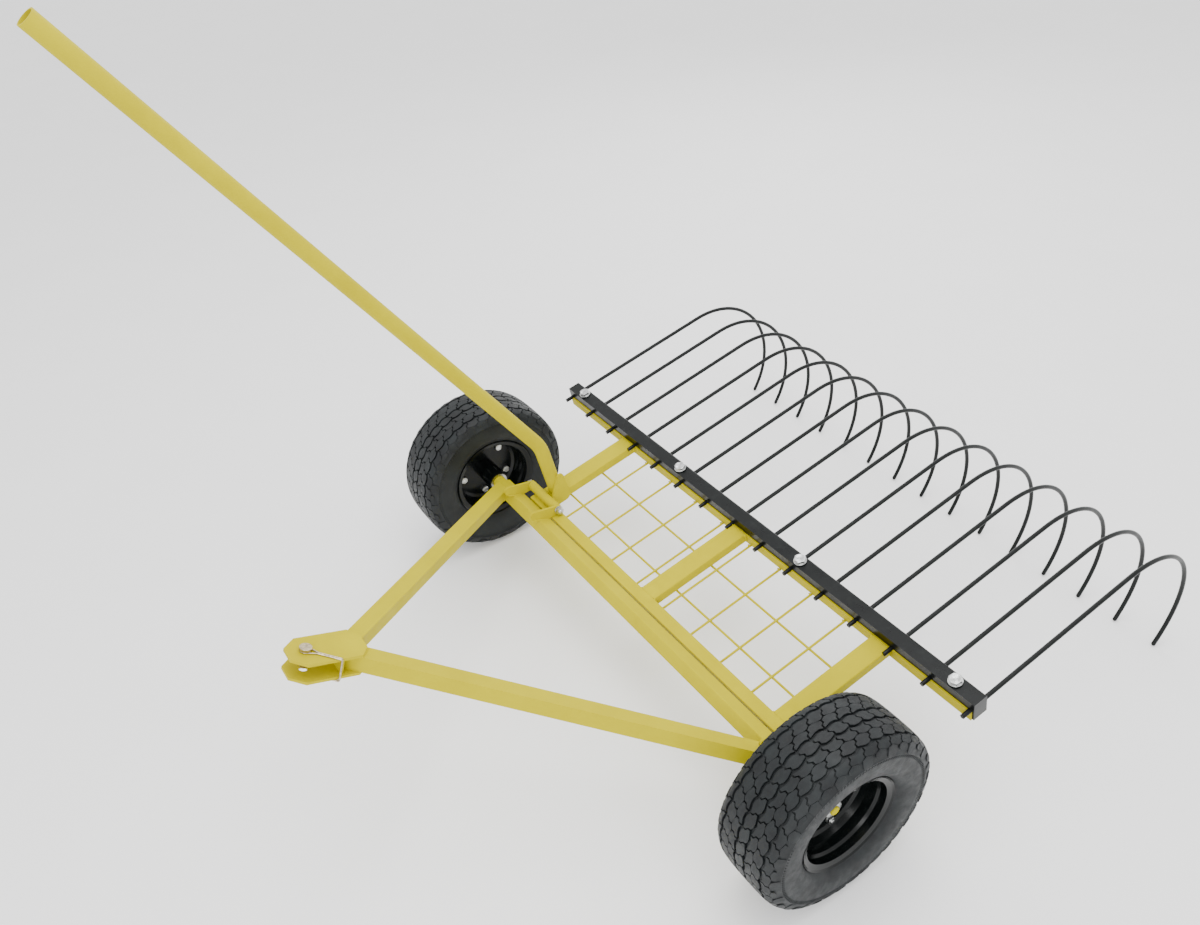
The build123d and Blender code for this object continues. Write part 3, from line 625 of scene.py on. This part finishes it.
def add_weld(mesh, points, radius):
    """A rippled weld bead of that radius in millimetres, along straight runs of points."""
    line = [points[0]]
    for p, q in zip(points, points[1:]):
        steps = max(2, round((q - p).length / WELD_STEP))
        line += [p.lerp(q, k / steps) for k in range(1, steps + 1)]
    phase = CHANCE.uniform(0, 6)
    radii = []
    for i in range(len(line)):
        wave = math.sin(2 * math.pi * i * WELD_STEP / WELD_RIPPLE + phase)
        end = min(i, len(line) - 1 - i) / 3
        size = radius * (1 + 0.10 * wave + CHANCE.uniform(-0.05, 0.05))
        radii.append(size * MM * (0.55 + 0.45 * min(end, 1.0)))
    add_tube(mesh, line, radii)


def weld_piece(name, plate, runs, radius):
    """All the welds of one kind on one frame. Each run is a list of (x, y, z)."""
    mesh = bmesh.new()
    for run in runs:
        add_weld(mesh, [plate.at(*point) for point in run], radius)
    new_piece(name, mesh, plate.look, plate.body, 60.0)


ARM_INSET = 45.0
BEAM_END = 559.0
ARM_WELDS = []
for side in (-1, 1):
    inner, outer = side * (BEAM_END - ARM_INSET), side * BEAM_END
    ARM_WELDS.append([(inner, -35.6, 0), (inner, -35.6, -35)])
    ARM_WELDS.append([(inner, -35, -35.2), (outer, -35, -35.2)])
weld_piece("arm_welds", TONGUE, ARM_WELDS, 3.2)
weld_piece("arm_seams", TONGUE, [[(s * 514, -35, -0.5), (s * 557, -35, -0.5)] for s in (-1, 1)], 1.3)

CLEVIS_WELDS = []
for side in (-1, 1):
    for z in (0.6, -35.6):
        CLEVIS_WELDS.append([(side * 42, -674, z), (side * 20, -654.5, z), (side * 13, -654.5, z)])
weld_piece("clevis_welds", TONGUE, CLEVIS_WELDS, 3.0)

# Each ear's two faces along X
EAR_FACES = [-486, -480, -357, -351, 514, 520]
weld_piece("ear_welds", TONGUE, [[(x, -50, 0.4), (x, -5, 0.4)] for x in EAR_FACES], 2.6)

MEMBER_CORNERS = [-409, -1, 49, 457]
CORNER_WELDS = []
for x in MEMBER_CORNERS:
    CORNER_WELDS.append([(x, 33.4, -0.8), (x, 33.4, -24)])
    CORNER_WELDS.append([(x, 303.6, -0.8), (x, 303.6, -24)])
weld_piece("corner_welds", RAKE, CORNER_WELDS, 4.2)
MEMBER_SPANS = [(-457, -411), (1, 47), (459, 505)]
SEAMS = [[(a, y, -0.45), (b, y, -0.45)] for a, b in MEMBER_SPANS for y in (33, 303.5)]
weld_piece("member_seams", RAKE, SEAMS, 1.2)
weld_piece(
    "sleeve_welds", RAKE, [[(-457, 27 + d, 1.6), (-360, 27 + d, 1.6)] for d in (-7.2, 7.2)], 2.4
)
weld_piece("gusset_weld", RAKE, [[(-403.2, 34, -4), (-403.2, 34, -24)]], 2.6)

LEVER_PLACE = (-427.0, 66.0)
LEVER_RADIUS = 18.0
ring = []
for k in range(41):
    angle = 2 * math.pi * k / 40
    x = LEVER_PLACE[0] + (LEVER_RADIUS + 0.8) * math.cos(angle)
    y = LEVER_PLACE[1] + (LEVER_RADIUS + 0.8) * math.sin(angle)
    ring.append((x, y, 0.8))
weld_piece("lever_weld", RAKE, [ring], 3.0)

MESH_MIDDLE = 12.0
MESH_PITCH = 104.0
MESH_XS = [MESH_MIDDLE + (i - 3.5) * MESH_PITCH for i in range(8)]
MESH_YS = [97, 201]
mesh = bmesh.new()
for x in MESH_XS:
    for y in MESH_YS:
        points = [RAKE.at(x + d, y + d * 0.4, -30.2) for d in (-3.4, -1.5, 0, 1.5, 3.4)]
        add_tube(mesh, points, [r * MM for r in (1.2, 2.7, 3.1, 2.7, 1.2)], 8)
    for y in (37, 300):
        points = [RAKE.at(x + d, y, -26.5) for d in (-5, -2.5, 0, 2.5, 5)]
        add_tube(mesh, points, [r * MM for r in (1.0, 2.2, 2.6, 2.2, 1.0)], 8)
new_piece("mesh_welds", mesh, "rake_yellow", "rake", 60.0)

# ------------------------------------------------------------------ fasteners
HEX_STEPS = 48


def add_rings(mesh, base, axis, out, rows):
    """A closed turned shape. Each row is (height, radius of an angle) in millimetres."""
    beside = axis.cross(out)
    rings = []
    for height, radius in rows:
        ring = []
        for k in range(HEX_STEPS):
            angle = 2 * math.pi * k / HEX_STEPS
            z = height(angle) if callable(height) else height
            r = radius(angle) if callable(radius) else radius
            spoke = out * math.cos(angle) + beside * math.sin(angle)
            ring.append(mesh.verts.new(base + (axis * z + spoke * r) * MM))
        rings.append(ring)
    for near, far in zip(rings, rings[1:]):
        for k in range(HEX_STEPS):
            j = (k + 1) % HEX_STEPS
            mesh.faces.new((near[k], near[j], far[j], far[k]))
    mesh.faces.new(rings[0][::-1])
    mesh.faces.new(rings[-1])


def add_hex(mesh, base, axis, out, flats, height, both=False, top_dip=0.0):
    """A hexagon head or nut with 30 degree chamfers. both chamfers its underside too."""
    half = flats / 2

    def reach(angle):
        return half / math.cos((angle + math.pi / 6) % (math.pi / 3) - math.pi / 6)

    def fall(angle):
        return (reach(angle) - half * 0.96) * math.tan(math.radians(30))

    rows = []
    if both:
        rows += [(0, half * 0.94), (fall, reach)]
    else:
        rows += [(0, reach)]
    rows += [(lambda a: height - fall(a), reach), (height, half * 0.94)]
    if top_dip:
        rows += [(height, half * 0.8), (height - top_dip, half * 0.74)]
    add_rings(mesh, base, axis, out, rows)


def add_thread(mesh, base, axis, out, radius, length, pitch=1.5):
    """A threaded end: ridges along a shank, and a small chamfer at its tip."""
    rows = [(0, radius)]
    z = 0.0
    while z + pitch < length - 0.8:
        rows += [(z + pitch * 0.5, radius * 0.93), (z + pitch, radius)]
        z += pitch
    rows += [(length - 0.8, radius), (length, radius - 0.9)]
    add_rings(mesh, base, axis, out, rows)


CLAMP_PITCH = 440.0
CLAMP_XS = [(i - 1.5) * CLAMP_PITCH for i in range(4)]
CLAMP_Y = 324.5
CLAMP_HEX = 24.0
mesh = bmesh.new()
for i, x in enumerate(CLAMP_XS):
    turn = math.radians(17 * i)
    out = RAKE.x * math.cos(turn) + RAKE.y * math.sin(turn)
    add_rings(
        mesh,
        RAKE.at(x, CLAMP_Y, 25),
        RAKE.z,
        out,
        [(0, 14.2), (0.4, 14.7), (2.0, 14.7), (2.4, 14.2)],
    )
    add_hex(mesh, RAKE.at(x, CLAMP_Y, 27.2), RAKE.z, out, CLAMP_HEX, 7.8, top_dip=0.5)
    add_rings(mesh, RAKE.at(x, CLAMP_Y, -28), RAKE.z, out, [(0, 7.9), (53.5, 7.9)])
    add_thread(mesh, RAKE.at(x, CLAMP_Y, -28), -RAKE.z, out, 7.9, 17)
piece = new_piece("clamp_bolt_set", mesh, "zinc", "rake")
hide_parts("clamp_bolts")
mesh = bmesh.new()
for i, x in enumerate(CLAMP_XS):
    turn = math.radians(31 * i)
    out = RAKE.x * math.cos(turn) + RAKE.y * math.sin(turn)
    add_hex(mesh, RAKE.at(x, CLAMP_Y, -28.1), -RAKE.z, out, CLAMP_HEX, 12.9, both=True)
piece = new_piece("clamp_nut_set", mesh, "zinc", "rake")
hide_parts("clamp_nuts")

X_AXIS = Vector((1, 0, 0))
Z_AXIS = Vector((0, 0, 1))
PIVOT_HEX = 19.0
RIM_HEX = 17.0


def pivot_at(x):
    return Vector((x * MM, PIVOT.y, PIVOT.z))


mesh = bmesh.new()
add_hex(mesh, pivot_at(-486.1), -X_AXIS, Z_AXIS, PIVOT_HEX, 7.8, top_dip=0.4)
add_rings(mesh, pivot_at(-486), X_AXIS, Z_AXIS, [(0, 5.95), (135, 5.95)])
add_thread(mesh, pivot_at(-351), X_AXIS, Z_AXIS, 5.95, 15)
add_hex(mesh, pivot_at(520.1), X_AXIS, Z_AXIS, PIVOT_HEX, 7.8, top_dip=0.4)
add_rings(mesh, pivot_at(507.1), X_AXIS, Z_AXIS, [(0, 5.95), (13, 5.95)])
piece = new_piece("pivot_bolt_set", mesh, "zinc", "tow_frame")
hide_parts("pivot_bolts")
mesh = bmesh.new()
add_rings(mesh, pivot_at(-350.9), X_AXIS, Z_AXIS, [(0, 11.2), (0.3, 11.5), (1.7, 11.5), (2, 11.2)])
add_hex(mesh, pivot_at(-349), X_AXIS, Z_AXIS, PIVOT_HEX, 8, both=True)
piece = new_piece("pivot_lock_nut", mesh, "zinc", "tow_frame")
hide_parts("pivot_nut")

RIM_BOLT_CIRCLE = 68.0
RIM_SHEET = 2.5
RIM_BOLTS = 5
RIM_BOLT_STEP = 360 / RIM_BOLTS
for name, side, first in (("left", 1, -6), ("right", -1, 44)):
    wheel = Wheel(name)
    outboard = X_AXIS * side
    bolts = bmesh.new()
    nuts = bmesh.new()
    for k in range(RIM_BOLTS):
        angle = math.radians(first + RIM_BOLT_STEP * k)
        spoke = Vector((0, math.cos(angle), math.sin(angle)))
        centre = wheel.centre + spoke * RIM_BOLT_CIRCLE * MM
        base = centre - outboard * RIM_SHEET * MM
        add_hex(bolts, base, -outboard, spoke, RIM_HEX, 6.3, top_dip=0.4)
        add_rings(bolts, base, outboard, spoke, [(0, 4.95), (5.0, 4.95)])
        add_thread(bolts, base + outboard * 5 * MM, outboard, spoke, 4.95, 11)
        face = centre + outboard * RIM_SHEET * MM
        add_rings(nuts, face, outboard, spoke, [(0, 9.6), (0.3, 9.9), (1.4, 9.9), (1.7, 9.6)])
        add_hex(nuts, face + outboard * 1.6 * MM, outboard, spoke, RIM_HEX, 6.4, both=True)
    piece = new_piece(f"{name}_rim_bolt_set", bolts, "zinc", f"{name}_wheel")
    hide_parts(f"{name}_rim_bolts")
    piece = new_piece(f"{name}_rim_nut_set", nuts, "zinc", f"{name}_wheel")
    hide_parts(f"{name}_rim_nuts")

# Past the hub, its side gap and the washer
NUT_START = 8.0 + 0.5 + 3.0
AXLE_NUT_HEX = 36.0
mesh = bmesh.new()
for side, name in ((1, "left"), (-1, "right")):
    outboard = X_AXIS * side
    base = Wheel(name).centre + outboard * NUT_START * MM
    add_hex(mesh, base, outboard, Z_AXIS, AXLE_NUT_HEX, 14, both=True)
piece = new_piece("axle_nut_set", mesh, "zinc", "tow_frame")
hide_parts("axle_nuts")

# ------------------------------------------------------------------ floor and light
FLOOR_SIZE = 40.0


def make_floor():
    """A plain pale floor under the tyres and tine tips."""
    bpy.ops.mesh.primitive_plane_add(size=FLOOR_SIZE, location=(0, 0, -0.0005))
    floor = bpy.context.object
    floor.name = "floor"
    n = Nodes("floor")
    shade = n.ranged(n.noise(3.0), 0.3, 0.7)
    colour = n.mixed(shade, (0.93, 0.93, 0.93), (0.95, 0.95, 0.95))
    rough = n.ranged(n.noise(40.0), 0.3, 0.7, 0.6, 0.7)
    floor.data.materials.append(n.finish(colour, rough, n.bump(n.noise(400.0), 0.0002, 0.2)))


def area_light(name, place, target, size, watts, tint=(1.0, 1.0, 1.0)):
    """A soft square light at place, facing target."""
    data = bpy.data.lights.new(name, "AREA")
    data.shape = "SQUARE"
    data.size = size
    data.energy = watts
    data.color = tint
    light = bpy.data.objects.new(name, data)
    SCENE.collection.objects.link(light)
    light.location = place
    light.rotation_euler = (Vector(target) - Vector(place)).to_track_quat("-Z", "Y").to_euler()


def make_light():
    """Even studio light: a pale world, a large overhead panel and two side panels."""
    world = bpy.data.worlds.new("studio")
    SCENE.world = world
    world.use_nodes = True
    back = world.node_tree.nodes["Background"]
    back.inputs["Color"].default_value = (1.0, 1.0, 1.0, 1.0)
    back.inputs["Strength"].default_value = 1.65
    area_light("overhead", (0.3, 0.2, 3.6), (0, 0, 0.2), 2.6, 80.0)
    area_light("front_left", (2.6, -2.8, 2.2), (0, -0.1, 0.2), 1.6, 60.0)
    area_light("behind", (-2.4, 2.6, 2.4), (0, 0.3, 0.3), 1.6, 40.0)


make_floor()
make_light()
